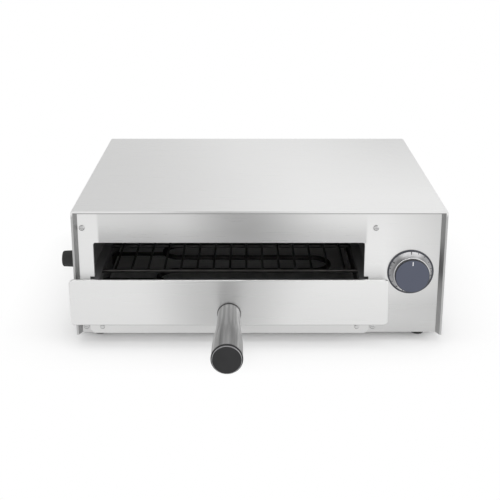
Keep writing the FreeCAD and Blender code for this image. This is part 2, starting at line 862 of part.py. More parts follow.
def make_timer_shaft():
    front = knob_back - shaft_grip
    length = face_y + shaft_seat - front
    shaft = drum(shaft_radius, Vector(timer_x, front, timer_z), BACK, length)
    return less(shaft, shaft_flat_core(front - PAST, knob_back, 0))


def shaft_flat_core(y0, y1, grow):
    """Block on the flat side of the shaft."""
    low = timer_z + shaft_radius - shaft_flat + grow
    return block(timer_x - shaft_radius - PAST, timer_x + shaft_radius + PAST, y0, y1, low, low + PAST)


def make_timer_knob():
    """Body that widens to the front, bored for the shaft, with a boss for the cap."""
    start = Vector(timer_x, knob_back, timer_z)
    seat = Vector(timer_x, knob_seat, timer_z)
    body = Part.makeCone(knob_base_radius, knob_radius - knob_step, knob_back - knob_seat, start, FRONT)
    boss = drum(knob_boss_radius, seat, FRONT, knob_boss_height)
    bore = drum(shaft_radius + turn_gap, start, FRONT, shaft_grip + turn_gap)
    flat = shaft_flat_core(knob_front, knob_back, turn_gap)
    return less(joined(body, boss), less(bore, flat))


def make_knob_cap():
    front = Vector(timer_x, knob_front, timer_z)
    seat = Vector(timer_x, knob_seat, timer_z)
    cap = drum(knob_radius, front, BACK, knob_cap_thickness)
    cap = cap.makeFillet(knob_round, edges_at(cap, BACK, knob_front))
    return less(cap, drum(knob_boss_radius + turn_gap, seat, FRONT, knob_boss_height))


def make_dial_plate():
    middle = Vector(timer_x, face_y, timer_z)
    plate = drum(dial_radius, middle, FRONT, dial_thickness)
    return less(plate, hole(boss_radius + hole_gap, middle, BACK, PAST))


def make_dial_rim():
    middle = Vector(timer_x, face_y, timer_z)
    ring = drum(dial_radius + turn_gap + rim_width, middle, FRONT, rim_thickness)
    ring = ring.makeFillet(rim_width * rim_crown, edges_at(ring, FRONT, rim_thickness - face_y))
    return less(ring, hole(dial_radius + turn_gap, middle, BACK, 2 * PAST))


def make_thermal_cutout():
    half_width = cutout_plate_width / 2
    half_height = cutout_plate_height / 2
    x, y, z = cutout_base
    plate = block(x, x + liner, y - half_width, y + half_width, z - half_height, z + half_height)
    body = drum(cutout_radius, cutout_base, RIGHT, liner + cutout_length)
    end = x + liner + cutout_length
    tabs = [block(end, end + tab_length, y + side * cutout_tab_spacing / 2 - liner / 2,
                  y + side * cutout_tab_spacing / 2 + liner / 2, z - tab_width / 2, z + tab_width / 2)
            for side in (-1, 1)]
    cuts = [hole(small_screw_radius + hole_gap, seat, RIGHT, PAST) for seat in cutout_screw_seats]
    return less(joined(plate, body, *tabs), *cuts)


def make_cutout_screws():
    return [pan_screw(seat, RIGHT, small_screw_radius, small_screw_head, small_screw_head_height,
                      small_screw_length) for seat in cutout_screw_seats]


block_y = back_y - block_rear_gap - block_width
block_poles = [Vector(bay_x + k * block_pole_pitch, block_y, floor_z + block_height / 2) for k in (-1, 0, 1)]
stud_base = Vector(bay_x, block_y - stud_ahead, floor_z)


def make_terminal_block():
    half = block_length / 2
    body = block(bay_x - half, bay_x + half, block_y, block_y + block_width, floor_z, floor_z + block_height)
    top = floor_z + block_height
    grooves = [block(bay_x + side * block_pole_pitch / 2 - block_groove / 2,
                     bay_x + side * block_pole_pitch / 2 + block_groove / 2,
                     block_y - PAST, block_y + block_width + PAST, top - block_groove_depth, top + PAST)
               for side in (-1, 1)]
    above = Vector(0, block_width / 2, block_height / 2)
    screws = [drum(block_groove, pole + above, DOWN, block_groove_depth) for pole in block_poles]
    return less(body, *grooves, *screws)


def make_earth_stud():
    stud = drum(stud_radius, stud_base, UP, stud_height)
    nut = hex_nut(stud_base, UP, stud_nut_across, stud_nut_height, stud_radius)
    return joined(stud, nut)


def make_internal_leads():
    """Leads between the terminal block, the timer, the cut-out and the heaters."""
    rear = inside_y + timer_depth + tab_length
    tab_z = timer_z + tab_rise
    first_tab, second_tab = [Vector(x, rear, tab_z) for x in timer_tab_places()]
    cut_x = cutout_base.x + liner + cutout_length + tab_length
    pin_reach = RIGHT * (liner + element_stub + bead_length + pin_length)
    low_front, low_rear, high_front, high_rear = [end + pin_reach for end in element_ends]
    live, earth, neutral = block_poles
    run = BACK * lead_run
    out = RIGHT * lead_out
    riser_x = high_rear.x + lead_out
    half = BACK * (cutout_tab_spacing / 2)
    cut_middle = Vector(cut_x, cutout_base.y, cutout_base.z)
    cut_first, cut_second = cut_middle - half, cut_middle + half
    routes = [
        [first_tab, first_tab + run, Vector(live.x, first_tab.y + lead_run, live.z), live],
        [second_tab, Vector(second_tab.x, cut_first.y, tab_z), cut_first],
        [cut_second, Vector(riser_x, cut_second.y, cut_second.z), Vector(riser_x, cut_second.y, high_rear.z),
         high_rear + out, high_rear],
        [high_front, high_front + out, low_front + out, low_front],
        [low_rear, low_rear + out, Vector(neutral.x, neutral.y - lead_run, neutral.z), neutral],
        [earth, earth - BACK * (stud_ahead - stud_radius - slide_gap)],
    ]
    return [bent_rod(route, lead_radius, lead_bend) for route in routes]


def make_cable_gland():
    outside = gland_middle + BACK * sheet
    flange = drum(gland_flange_radius, outside, BACK, gland_flange)
    dome = Part.makeCone(gland_dome_radius, gland_dome_radius - gland_dome_taper, gland_dome,
                         outside + BACK * gland_flange, BACK)
    tail = drum(gland_thread, outside, FRONT, sheet + gland_tail)
    bore = hole(gland_bore, gland_middle, BACK, 2 * (gland_tail + gland_flange + gland_dome + sheet))
    return less(joined(flange, dome, tail), bore)


def make_gland_nut():
    return hex_nut(gland_middle, FRONT, gland_nut_across, gland_nut_height, gland_thread + turn_gap)


def rubber_foot(seat, outward, length, radius, taper, rounding, screw_seat):
    """Tapered rubber foot on a seat, with a sunk hole for its screw."""
    foot = Part.makeCone(radius, radius - taper, length, Vector(), UP)
    foot = foot.makeFillet(rounding, edges_at(foot, UP, length))
    sink = drum(foot_bore, Vector(0, 0, length - screw_seat), UP, screw_seat)
    foot = less(foot, sink, drum(screw_hole, Vector(), UP, length))
    foot.Placement = Placement(seat, Rotation(UP, outward))
    return foot


def make_feet():
    return [rubber_foot(place + UP * foot_height, DOWN, foot_height, foot_radius, foot_taper, foot_round,
                        foot_seat) for place in foot_places]


def make_foot_screws():
    length = foot_height - foot_seat + sheet + nut_height + nut_clearance / 2
    return [casing_screw(place + UP * foot_seat, DOWN, length) for place in foot_places]


def make_foot_nuts():
    return [hex_nut(place + UP * floor_z, UP, nut_across, nut_height, screw_radius + turn_gap)
            for place in foot_places]


def make_bumper():
    return rubber_foot(bumper_base, LEFT, bumper_length, bumper_radius, bumper_taper, bumper_round,
                       bumper_seat)


def make_bumper_screw():
    under_head = bumper_length - bumper_seat
    through = under_head + sheet + nut_height + nut_clearance
    return casing_screw(bumper_base + LEFT * under_head, LEFT, through)


def make_bumper_nut():
    return hex_nut(bumper_base + RIGHT * sheet, RIGHT, nut_across, nut_height, screw_radius + turn_gap)


def make_hood_screws():
    return [casing_screw(Vector(x, y, z), outward)
            for x, outward in ((left_x, LEFT), (right_x, RIGHT)) for y, z in hood_screw_places]


pieces = {
    "hood": make_hood(),
    "front_panel": make_front_panel(),
    "base_plate": make_base_plate(),
    "back_panel": make_back_panel(),
    "chamber_left_wall": chamber_wall(chamber_left, -1),
    "chamber_right_wall": make_chamber_right_wall(),
    "chamber_roof": make_chamber_roof(),
    "chamber_back": make_chamber_back(),
    "rack_rail_left": rack_rail(chamber_left, 1),
    "rack_rail_right": rack_rail(chamber_right, -1),
    "rack_frame": make_rack_frame(),
    "rack_cross_rods": make_rack_cross_rods(),
    "rack_wires": make_rack_wires(),
    "rack_front": make_rack_front(),
    "handle_collar": make_handle_collar(),
    "handle_grip": make_handle_grip(),
    "handle_cap": make_handle_cap(),
    "handle_insert": make_handle_insert(),
    "handle_bolt": make_handle_bolt(),
    "crumb_tray": make_crumb_tray(),
    "tray_front": make_tray_front(),
    "tray_rivets": make_tray_rivets(),
    "tray_guides": make_tray_guides(),
    "lower_element": make_element(lower_element_z),
    "upper_element": make_element(upper_element_z),
    "element_brackets": make_element_brackets(),
    "element_bushes": make_element_bushes(),
    "element_terminals": make_element_terminals(),
    "timer_body": make_timer_body(),
    "timer_screws": make_timer_screws(),
    "timer_shaft": make_timer_shaft(),
    "timer_knob": make_timer_knob(),
    "knob_cap": make_knob_cap(),
    "dial_plate": make_dial_plate(),
    "dial_rim": make_dial_rim(),
    "thermal_cutout": make_thermal_cutout(),
    "cutout_screws": make_cutout_screws(),
    "terminal_block": make_terminal_block(),
    "earth_stud": make_earth_stud(),
    "internal_leads": make_internal_leads(),
    "cable_gland": make_cable_gland(),
    "gland_nut": make_gland_nut(),
    "feet": make_feet(),
    "foot_screws": make_foot_screws(),
    "foot_nuts": make_foot_nuts(),
    "side_bumper": make_bumper(),
    "bumper_screw": make_bumper_screw(),
    "bumper_nut": make_bumper_nut(),
    "face_screws": [casing_screw(seat, FRONT) for seat in face_screw_seats],
    "hood_screws": make_hood_screws(),
    "back_screws": [casing_screw(seat, BACK) for seat in back_screw_seats],
}

os.makedirs("parts", exist_ok=True)
for node, made in pieces.items():
    shape = Part.makeCompound(made) if isinstance(made, list) else made
    state = "valid" if shape.isValid() else "NOT VALID"
    print(f"{node}: {len(shape.Solids)} solids, {shape.Volume:.0f} mm3, {state}")
    shape.exportStep(f"parts/{node}.step")
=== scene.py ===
"""Looks of a countertop pizza oven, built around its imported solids. Lengths are in metres."""
import json
import math

import bmesh
import bpy
from mathutils import Matrix, Vector


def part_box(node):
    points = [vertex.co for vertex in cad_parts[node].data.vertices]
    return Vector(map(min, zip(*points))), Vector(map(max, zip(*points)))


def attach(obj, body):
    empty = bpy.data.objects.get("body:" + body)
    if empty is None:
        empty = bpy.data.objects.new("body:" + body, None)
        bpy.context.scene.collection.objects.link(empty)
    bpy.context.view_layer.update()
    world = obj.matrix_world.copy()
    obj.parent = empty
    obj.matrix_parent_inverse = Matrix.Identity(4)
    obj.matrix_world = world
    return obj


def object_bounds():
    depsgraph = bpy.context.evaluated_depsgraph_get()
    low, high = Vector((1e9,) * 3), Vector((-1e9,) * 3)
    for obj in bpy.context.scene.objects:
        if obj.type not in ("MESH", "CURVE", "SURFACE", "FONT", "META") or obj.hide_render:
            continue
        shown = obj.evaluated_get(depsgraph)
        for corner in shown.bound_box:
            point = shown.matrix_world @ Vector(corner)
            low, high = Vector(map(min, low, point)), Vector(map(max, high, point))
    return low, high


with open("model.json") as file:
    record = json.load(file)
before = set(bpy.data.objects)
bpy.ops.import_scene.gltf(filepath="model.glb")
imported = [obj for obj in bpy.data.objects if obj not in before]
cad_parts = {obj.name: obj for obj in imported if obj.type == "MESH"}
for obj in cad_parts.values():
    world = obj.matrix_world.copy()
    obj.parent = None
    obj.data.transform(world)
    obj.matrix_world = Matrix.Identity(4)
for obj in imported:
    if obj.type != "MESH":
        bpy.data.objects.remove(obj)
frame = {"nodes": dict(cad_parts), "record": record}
cad_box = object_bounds()
nodes = frame["nodes"]

# Camera
IMAGE_SIZE = 500                   # the picture's width and height in pixels
FOCAL_PIXELS = 974.3
SENSOR = 36.0                      # millimetres, as Blender states it
CAMERA_PLACE = Vector((-0.0023, -1.2945, 0.5725))
CAMERA_PITCH = math.radians(16.73)
PICTURE_RISE = 65                  # how far the lens axis lies above the picture's middle, in pixels
CAMERA_REACH = 100.0               # how far the camera sees

# Studio
FLOOR_SIZE = 24.0
FLOOR_COLOR = (0.93, 0.93, 0.93)
FLOOR_ROUGHNESS = 0.9
FLOOR_CORE_INSET = 0.035           # casing's front to where the floor starts to whiten
FLOOR_CLEAR_END = 0.12             # distance from there at which the floor is all white
FLOOR_CLEAR_POWER = 0.75           # under 1, it whitens fastest near the casing
WORLD_FILL = 0.72                  # strength of the surroundings as a light
CARD_WIDTH = 4.0
CARD_HEIGHT = 1.5                  # where a card leans in over the object
CARD_CANOPY = (0.7, 2.4)           # its end: distance from the middle and height
CARD_LIFT = 0.004                  # above the floor
CARD_OVERHEAD = 0.45               # tone of the cards overhead
FRONT_CARD_REACH = (0.17, 1.5)     # nearest and farthest distance from the middle
FRONT_CARD_RISE = (0.7, 1.2)       # heights between which it darkens to the overhead tone
FRONT_CARD_EYE = 1.02              # place on Y that its dark stripe spreads from
FRONT_CARD_STRIPE = (-0.034, -0.006)  # stripe's direction on the floor and above it, as a slope
FRONT_CARD_CORE = (0.005, 0.014)   # half of its width on the floor and above it, as a slope
FRONT_CARD_FADE = (0.125, 0.064)   # slopes from its middle at which it ends, on the floor and above it
FRONT_CARD_TONES = (0.54, 0.04)    # stripe's tones on the floor and above it
FRONT_CARD_LEVELS = (0.0, 0.15)    # heights that count as on the floor and above it
FRONT_CARD_LEFT = (0.88, 1.0)      # tones on the floor from its left end to its middle
FRONT_CARD_LEFT_FADE = (-0.25, 0.1)  # places on X
FRONT_CARD_NEAR = (1.0, 0.8)       # tones on the floor from afar to near the object
FRONT_CARD_NEAR_FADE = (-0.42, -0.2)  # places on Y
FRONT_CARD_RIGHT = (1.0, 0.8)      # tones towards its right end
FRONT_CARD_RIGHT_FADE = (0.36, 0.65)  # places on X
BACK_CARD_REACH = (0.4, 2.0)
BACK_CARD_RISE = (1.5, 2.1)
BACK_CARD_LEFT = 0.7               # tone at its left end
BACK_CARD_RIGHT = (0.82, 1.15)     # tones of its right end below and above
BACK_CARD_LEVELS = (0.25, 0.6)     # heights that count as below and above
BACK_CARD_FADE = (-0.55, 0.65)     # places on X
SIDE_CARD_REACH = (0.4, 2.0)
SIDE_CARD_RISE = (1.0, 1.6)
SIDE_CARD_TONES = (0.6, 0.85)      # from front to back
SIDE_CARD_FADE = (-0.9, 1.1)       # places on Y
WHITE = (1.0, 1.0, 1.0)
SOFTBOXES = {                      # place, target, width, height, watts, and whether metal mirrors it
    "top_softbox": ((-0.1, -0.35, 1.6), (0.0, -0.1, 0.1), 1.6, 0.5, 6.0, True),
    "left_softbox": ((-1.7, -1.0, 0.9), (0.0, -0.1, 0.1), 0.5, 1.4, 1.0, True),
    "right_softbox": ((1.7, -0.9, 0.9), (0.0, -0.1, 0.1), 0.5, 1.4, 9.0, True),
    "front_softbox": ((0.1, -1.7, 0.45), (0.0, 0.0, 0.1), 1.0, 0.6, 6.0, False),
}

# Timer dial
DIAL_MINUTES = 15
DIAL_SWEEP = math.radians(300)
LONG_TICK_EVERY = 5
TICK_WIDTH = 0.0007
TICK_LENGTH = 0.0019
LONG_TICK_WIDTH = 0.0011
LONG_TICK_LENGTH = 0.0040
TICK_EDGE = 0.0002                 # dial's edge to the ticks
MARK_HEIGHT = 0.00012              # how far print stands up from its surface
NUMBER_SIZE = 0.0030
NUMBER_TURN = math.radians(11)     # a number stands beside its tick
POINTER_WIDTH = 0.001
POINTER_LENGTH = 0.0054
POINTER_EDGE = 0.0025              # cap's edge to the pointer

# Rings on the knob and the handle's end: the knob's bright ring paints a highlight, the handle's is grey
# trim
RING_EDGE = 0.0002
RING_GAP = 0.0001                  # piece to its ring
RING_STEPS = 72
KNOB_RING_PAST = 0.0008            # past the knob's cap
KNOB_RING_WIDTH = 0.0013
KNOB_RING_THICKNESS = 0.0014
HANDLE_RING_INSET = 0.0019         # cap's side to the ring's bore
HANDLE_RING_WIDTH = 0.0006
HANDLE_RING_SETBACK = 0.0006       # handle's end to the ring
HANDLE_RING_THICKNESS = 0.0017

# Plain finishes: colour, colour of its darker patches, roughness, metal share and patches in a metre
PLAIN_FINISHES = {
    "black_enamel": ((0.18, 0.18, 0.182), (0.15, 0.15, 0.152), 0.5, 0.0, 30.0),
    # the next enamel is paler, for the chamber's back wall: painted light where little light reaches
    "enamel_painted_light": ((0.5, 0.5, 0.5), (0.42, 0.42, 0.42), 0.6, 0.0, 30.0),
    "heater_sheath": ((0.06, 0.056, 0.052), (0.035, 0.03, 0.03), 0.5, 0.6, 40.0),
    "plain_steel": ((0.5, 0.5, 0.5), (0.42, 0.42, 0.42), 0.38, 1.0, 30.0),
    "tray_sheet": ((0.6, 0.6, 0.6), (0.56, 0.56, 0.56), 0.6, 0.2, 30.0),
    # the rack's chrome is darkened far below chrome's colour: painted shade of the dim chamber
    "rack_chrome": ((0.17, 0.165, 0.16), (0.13, 0.125, 0.12), 0.35, 1.0, 60.0),
    "black_plastic": ((0.016, 0.016, 0.017), (0.013, 0.013, 0.014), 0.4, 0.0, 60.0),
    "rubber": ((0.018, 0.018, 0.018), (0.013, 0.013, 0.013), 0.7, 0.0, 80.0),
    "porcelain": ((0.75, 0.73, 0.7), (0.68, 0.66, 0.62), 0.5, 0.0, 80.0),
    "lead_sleeve": ((0.45, 0.43, 0.4), (0.36, 0.34, 0.32), 0.8, 0.0, 200.0),
    "dial_dark": ((0.06, 0.062, 0.075), (0.05, 0.052, 0.065), 0.3, 0.3, 80.0),
    "dark_print": ((0.02, 0.02, 0.025), (0.03, 0.03, 0.035), 0.6, 0.0, 300.0),
    "white_print": ((0.8, 0.8, 0.82), (0.7, 0.7, 0.72), 0.6, 0.0, 300.0),
    "grey_trim": ((0.4, 0.4, 0.41), (0.34, 0.34, 0.35), 0.35, 0.4, 200.0),
    # the bright trim is a painted highlight: the white line round the knob's edge
    "painted_highlight": ((0.88, 0.88, 0.89), (0.83, 0.83, 0.84), 0.35, 0.2, 200.0),
}
PATCH_DETAIL = 3.0
PATCH_LEVELS = (0.35, 0.65)        # noise values between which a patchy colour changes
GRIT_SCALE = 1400.0                # grains in a metre of a fine surface
GRIT_BUMP = 0.08
GRIT_DEPTH = 0.0002

# Other small finishes
TUBE_COLOR = (0.58, 0.58, 0.58)
TUBE_DARK = (0.36, 0.36, 0.36)
TUBE_STREAKS = (240.0, 2.0, 240.0)  # streaks in a metre across the tube and along it
TUBE_ROUGHNESS = (0.32, 0.44)
TUBE_ANISOTROPY = 0.85
TUBE_ROTATION = 0.25
# The dial's colours paint the sheen of its spun rings: pale above and below its middle, darker at its sides
DIAL_HIGHLIGHT_COLOR = (0.95, 0.95, 0.96)
DIAL_DARK = (0.42, 0.42, 0.43)
DIAL_ROUGHNESS = 0.42
DIAL_METAL = 0.3
DIAL_PAINTED_SHEEN = (0.75, 0.97)  # how upright the way from its middle is, where its painted sheen starts and is full
KNOB_COLOR = (0.06, 0.068, 0.1)
KNOB_SIDE = (0.01, 0.01, 0.012)
KNOB_ROUGHNESS = 0.38
KNOB_FRONT = (-0.95, -0.6)         # the normal's Y on the printed face and on its side
HEAD_ROUGHNESS = 0.3
HEAD_SHADE_FACING = (-0.35, -0.05)        # the normal's Z where a head is all in painted shade and where it is bright
SCREW_COLORS = ((0.64, 0.64, 0.64), (0.02, 0.02, 0.02))  # a head and the painted shade on its underside
# a rivet's head and the painted shade on its underside
RIVET_COLORS = ((0.62, 0.62, 0.62), (0.1, 0.1, 0.1))

# Brushed sheet
SMUDGE_SCALE = 7.0                 # patches in a metre
GRAIN_LINES = 1500.0               # brush lines in a metre
GRAIN_STRETCH = 160                # length of a brush line in widths
GRAIN_DETAIL = 3.0
GRAIN_HARSHNESS = 0.6
GRAIN_LEVELS = (0.3, 0.7)          # noise values between which a drawn or brushed surface changes
GRAIN_ROUGHNESS = (0.27, 0.34)
GRAIN_BUMP = 0.03
GRAIN_DEPTH = 0.0001
SHEET_ROUGHNESS = 0.3
SHEET_ANISOTROPY = 0.75
SIDE_FACING = (0.6, 0.8)           # the normal's X between which the lines turn upright
STEEL = (0.87, 0.87, 0.865)
DULL_STEEL = (0.83, 0.83, 0.825)   # its darker patches
LIP_SHADE_STEEL = (0.74, 0.74, 0.735)    # the tray's lip, darker all over as painted shade under the plate
LIP_SHADE_DULL_STEEL = (0.7, 0.7, 0.695)
FACE_SHADE = (0.5, 0.5, 0.497)      # the fascia's colour under its deepest painted shade
FACE_FOOT_UNSHADED = 0.3              # unshaded share at the fascia's foot, which painted shade darkens
FACE_FOOT_LEVELS = (0.014, 0.1)    # heights between which it rises to 1
FACE_RIGHT_UNSHADED = 0.62            # unshaded share at its right edge, which painted shade darkens
FACE_RIGHT_FADE = (0.17, 0.248)    # places on X
HOOD_SHADE_STEEL = (0.4, 0.4, 0.4)     # painted shade on the hood's inside, its side hems and its top's right rear corner
INSIDE_ROUGHNESS = 0.5
INSIDE_FACING = (-0.1, -0.02)      # place on X times the normal's X, on the inside and past it
INSIDE_UNDER = (-0.5, -0.2)        # the normal's Z under the top and past it
BEND_SHADE = (0.3, 0.3, 0.3)       # painted shade on the plate's lower bend
BEND_UNDER = (-0.6, -0.25)         # the normal's Z on the bend and past it
HEM_SHADE = 0.72                   # share of painted shade on the hood's side hems
HEM_DROP = 0.008                   # hood's top to where they start
HEM_FACING = (-0.9, -0.7)          # the normal's Y on them and past them
TOP_SHADE = 0.34                    # share of painted shade on the top's right rear corner
TOP_SHADE_ACROSS = (-0.02, 0.22)    # places on X between which it sets in
TOP_SHADE_BACK = (-0.06, 0.25)      # and on Y
TOP_FACING = (0.7, 0.9)            # the normal's Z past the top and on it
FACE_LEAN = (-0.12, 0.16)          # how far the fascia leans back at its foot and above, as a slope
FACE_LEAN_LEVELS = (0.03, 0.095)   # heights between which it changes
STRIP_LEAN = (0.06, 0.42)          # more lean of the strip above the mouth, at its top and bottom
STRIP_SIDES = (-0.1995, 0.1497)    # places on X of its ends
STRIP_LEVELS = (0.1395, 0.176)     # heights of its bottom and top
STRIP_EDGE = 0.003                 # width of its soft edge
STRIP_SHADE = 0.3                   # share of painted shade at its left end
STRIP_SHADE_FADE = (-0.14, -0.08)   # places on X
FOLD_LEAN = 0.24                   # more lean just above the plate
FOLD_LEVELS = (0.09, 0.118)        # heights between which it fades
FOLD_EDGE = 0.004                  # width of its soft ends
MIX_COLORS = (6, 7)                # a Mix node's two colour inputs
MIX_RESULT = 2                     # and its colour output


class Finish:
    """A material made of one Principled shader and the texture nodes that feed it."""

    def __init__(self, name, color, roughness, metallic=0.0, **sockets):
        self.material = bpy.data.materials.new(name)
        self.material.use_nodes = True
        self.tree = self.material.node_tree
        self.shader = self.tree.nodes["Principled BSDF"]
        self.shader.inputs["Base Color"].default_value = (*color, 1.0)
        self.shader.inputs["Roughness"].default_value = roughness
        self.shader.inputs["Metallic"].default_value = metallic
        for socket, value in sockets.items():
            self.shader.inputs[socket.replace("_", " ").title()].default_value = value

    def node(self, kind, settings=None, **inputs):
        """A new node with its settings, and with values or other nodes' outputs on its inputs."""
        node = self.tree.nodes.new(kind)
        for name, value in (settings or {}).items():
            setattr(node, name, value)
        for name, value in inputs.items():
            self.feed(node.inputs[name.replace("_", " ").title()], value)
        return node

    def feed(self, socket, value):
        if isinstance(value, bpy.types.NodeSocket):
            self.tree.links.new(value, socket)
        else:
            socket.default_value = value

    def place(self):
        """The point on the object, in metres."""
        return self.node("ShaderNodeTexCoord").outputs["Object"]

    def split(self, vector):
        made = self.node("ShaderNodeSeparateXYZ", vector=vector)
        return [made.outputs[axis] for axis in "XYZ"]

    def vector(self, x, y, z):
        return self.node("ShaderNodeCombineXYZ", x=x, y=y, z=z).outputs["Vector"]

    def vector_math(self, operation, first, second=(0.0, 0.0, 0.0)):
        made = self.node("ShaderNodeVectorMath", {"operation": operation})
        self.feed(made.inputs[0], first)
        self.feed(made.inputs[1], second)
        return made.outputs["Vector"]

    def noise(self, vector, scale, detail=2.0, roughness=0.5):
        made = self.node("ShaderNodeTexNoise", vector=vector, scale=scale, detail=detail,
                         roughness=roughness)
        return made.outputs["Fac"]

    def ranged(self, value, low, high, start=0.0, end=1.0, smooth=False):
        """From low to high while the value goes from start to end, and held past both."""
        made = self.node("ShaderNodeMapRange", {"clamp": True})
        if smooth:
            made.interpolation_type = "SMOOTHSTEP"
        for name, number in (("Value", value), ("From Min", start), ("From Max", end), ("To Min", low),
                             ("To Max", high)):
            self.feed(made.inputs[name], number)
        return made.outputs["Result"]

    def math(self, operation, first, second=0.0):
        made = self.node("ShaderNodeMath", {"operation": operation})
        self.feed(made.inputs[0], first)
        self.feed(made.inputs[1], second)
        return made.outputs["Value"]

    def mixed_color(self, share, first, second):
        made = self.node("ShaderNodeMix", {"data_type": "RGBA"})
        self.feed(made.inputs["Factor"], share)
        for socket, color in zip(MIX_COLORS, (first, second)):
            self.feed(made.inputs[socket], (*color, 1.0))
        return made.outputs[MIX_RESULT]

    def vary(self, socket, value):
        """Feed one of the shader's sockets."""
        self.feed(self.shader.inputs[socket], value)

    def bump(self, height, strength, distance):
        made = self.node("ShaderNodeBump", strength=strength, distance=distance, height=height)
        self.feed(self.shader.inputs["Normal"], made.outputs["Normal"])
        return made

    def output(self, shader):
        self.feed(self.tree.nodes["Material Output"].inputs["Surface"], shader)


def smudged(finish, color, darker, scale):
    """Soft uneven colour, as of handling and polishing."""
    cloud = finish.noise(finish.place(), scale, detail=PATCH_DETAIL)
    share = finish.ranged(cloud, 0.0, 1.0, *PATCH_LEVELS)
    finish.vary("Base Color", finish.mixed_color(share, color, darker))


def add_grit(finish):
    """Fine surface texture."""
    finish.bump(finish.noise(finish.place(), GRIT_SCALE), GRIT_BUMP, GRIT_DEPTH)


def brush(finish):
    """Fine brush lines along X, and up and down on the sheet's bent sides."""
    facing = finish.node("ShaderNodeNewGeometry").outputs["Normal"]
    sideways = finish.math("ABSOLUTE", finish.split(facing)[0])
    on_side = finish.ranged(sideways, 0.0, 1.0, *SIDE_FACING)
    along = GRAIN_LINES / GRAIN_STRETCH
    scale = finish.vector(along, GRAIN_LINES, finish.ranged(on_side, GRAIN_LINES, along))
    stretched = finish.vector_math("MULTIPLY", finish.place(), scale)
    grain = finish.noise(stretched, 1.0, GRAIN_DETAIL, GRAIN_HARSHNESS)
    finish.vary("Roughness", finish.ranged(grain, *GRAIN_ROUGHNESS, *GRAIN_LEVELS))
    finish.vary("Tangent", finish.vector(0.0, 1.0, finish.math("SUBTRACT", 1.0, on_side)))
    return finish.bump(grain, GRAIN_BUMP, GRAIN_DEPTH)


def make_stainless(name, color=STEEL, darker=DULL_STEEL):
    """Brushed sheet: the finish and its bump node, which takes a lean."""
    finish = Finish(name, color, SHEET_ROUGHNESS, 1.0, anisotropic=SHEET_ANISOTROPY)
    smudged(finish, color, darker, SMUDGE_SCALE)
    return finish, brush(finish)


def between(finish, value, start, end, edge):
    """1 between two limits and 0 past them, with a soft edge inside them."""
    past_start = finish.math("SUBTRACT", value, start)
    inside = finish.math("MINIMUM", past_start, finish.math("SUBTRACT", end, value))
    return finish.ranged(inside, 0.0, 1.0, 0.0, edge)


def make_fascia(name):
    """Brushed sheet that leans back a little, more so above the plate and in the strip above the mouth.

    Painted shade darkens it at its foot, at its right edge and at the strip's left end.
    """
    finish, grain = make_stainless(name)
    x, _, z = finish.split(finish.place())
    low, high = STRIP_LEVELS
    strip = finish.math("MULTIPLY", between(finish, x, *STRIP_SIDES, STRIP_EDGE),
                        finish.ranged(z, 0.0, 1.0, low - STRIP_EDGE, low))
    strip_lean = finish.math("MULTIPLY", strip, finish.ranged(z, STRIP_LEAN[1], STRIP_LEAN[0], low, high))
    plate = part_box("rack_front")
    fold = finish.math("MULTIPLY", between(finish, x, plate[0].x, plate[1].x, FOLD_EDGE),
                       finish.ranged(z, FOLD_LEAN, 0.0, *FOLD_LEVELS, smooth=True))
    face_lean = finish.ranged(z, *FACE_LEAN, *FACE_LEAN_LEVELS, smooth=True)
    total = finish.math("ADD", finish.math("ADD", face_lean, fold), strip_lean)
    lean = finish.vector(0.0, 0.0, total)
    facing = finish.node("ShaderNodeNewGeometry").outputs["Normal"]
    leaning = finish.vector_math("NORMALIZE", finish.vector_math("ADD", facing, lean))
    finish.feed(grain.inputs["Normal"], leaning)
    unshaded = finish.math("MULTIPLY", finish.ranged(z, FACE_FOOT_UNSHADED, 1.0, *FACE_FOOT_LEVELS),
                         finish.ranged(x, 1.0, FACE_RIGHT_UNSHADED, *FACE_RIGHT_FADE))
    painted_shade = finish.math("MULTIPLY", strip, finish.ranged(x, STRIP_SHADE, 0.0, *STRIP_SHADE_FADE, smooth=True))
    finish.vary("Base Color", finish.mixed_color(finish.math("SUBTRACT", unshaded, painted_shade), FACE_SHADE, STEEL))
    return finish.material


def make_hood_finish(name):
    """Brushed sheet with painted shade on its inside, on its side hems and on the right rear corner of its
    top, and rougher where that shade is deep.
    """
    finish, _ = make_stainless(name)
    x, y, z = finish.split(finish.place())
    facing = finish.split(finish.node("ShaderNodeNewGeometry").outputs["Normal"])
    inward = finish.ranged(finish.math("MULTIPLY", x, facing[0]), 1.0, 0.0, *INSIDE_FACING)
    downward = finish.ranged(facing[2], 1.0, 0.0, *INSIDE_UNDER)
    hem_top = cad_box[1].z - HEM_DROP
    hem = finish.math("MULTIPLY", finish.ranged(facing[1], HEM_SHADE, 0.0, *HEM_FACING),
                      finish.ranged(z, 1.0, 0.0, hem_top, hem_top + HEM_DROP / 2))
    corner = finish.math("MULTIPLY", finish.ranged(x, 0.0, TOP_SHADE, *TOP_SHADE_ACROSS),
                         finish.ranged(y, 0.0, 1.0, *TOP_SHADE_BACK))
    top = finish.math("MULTIPLY", corner, finish.ranged(facing[2], 0.0, 1.0, *TOP_FACING))
    inside = finish.math("MAXIMUM", inward, downward)
    painted_shade = finish.math("MAXIMUM", inside, finish.math("MAXIMUM", hem, top))
    finish.vary("Base Color", finish.mixed_color(painted_shade, STEEL, HOOD_SHADE_STEEL))
    brushed = finish.shader.inputs["Roughness"].links[0].from_socket
    rough = finish.math("MULTIPLY", painted_shade, INSIDE_ROUGHNESS)
    finish.vary("Roughness", finish.math("MAXIMUM", brushed, rough))
    return finish.material


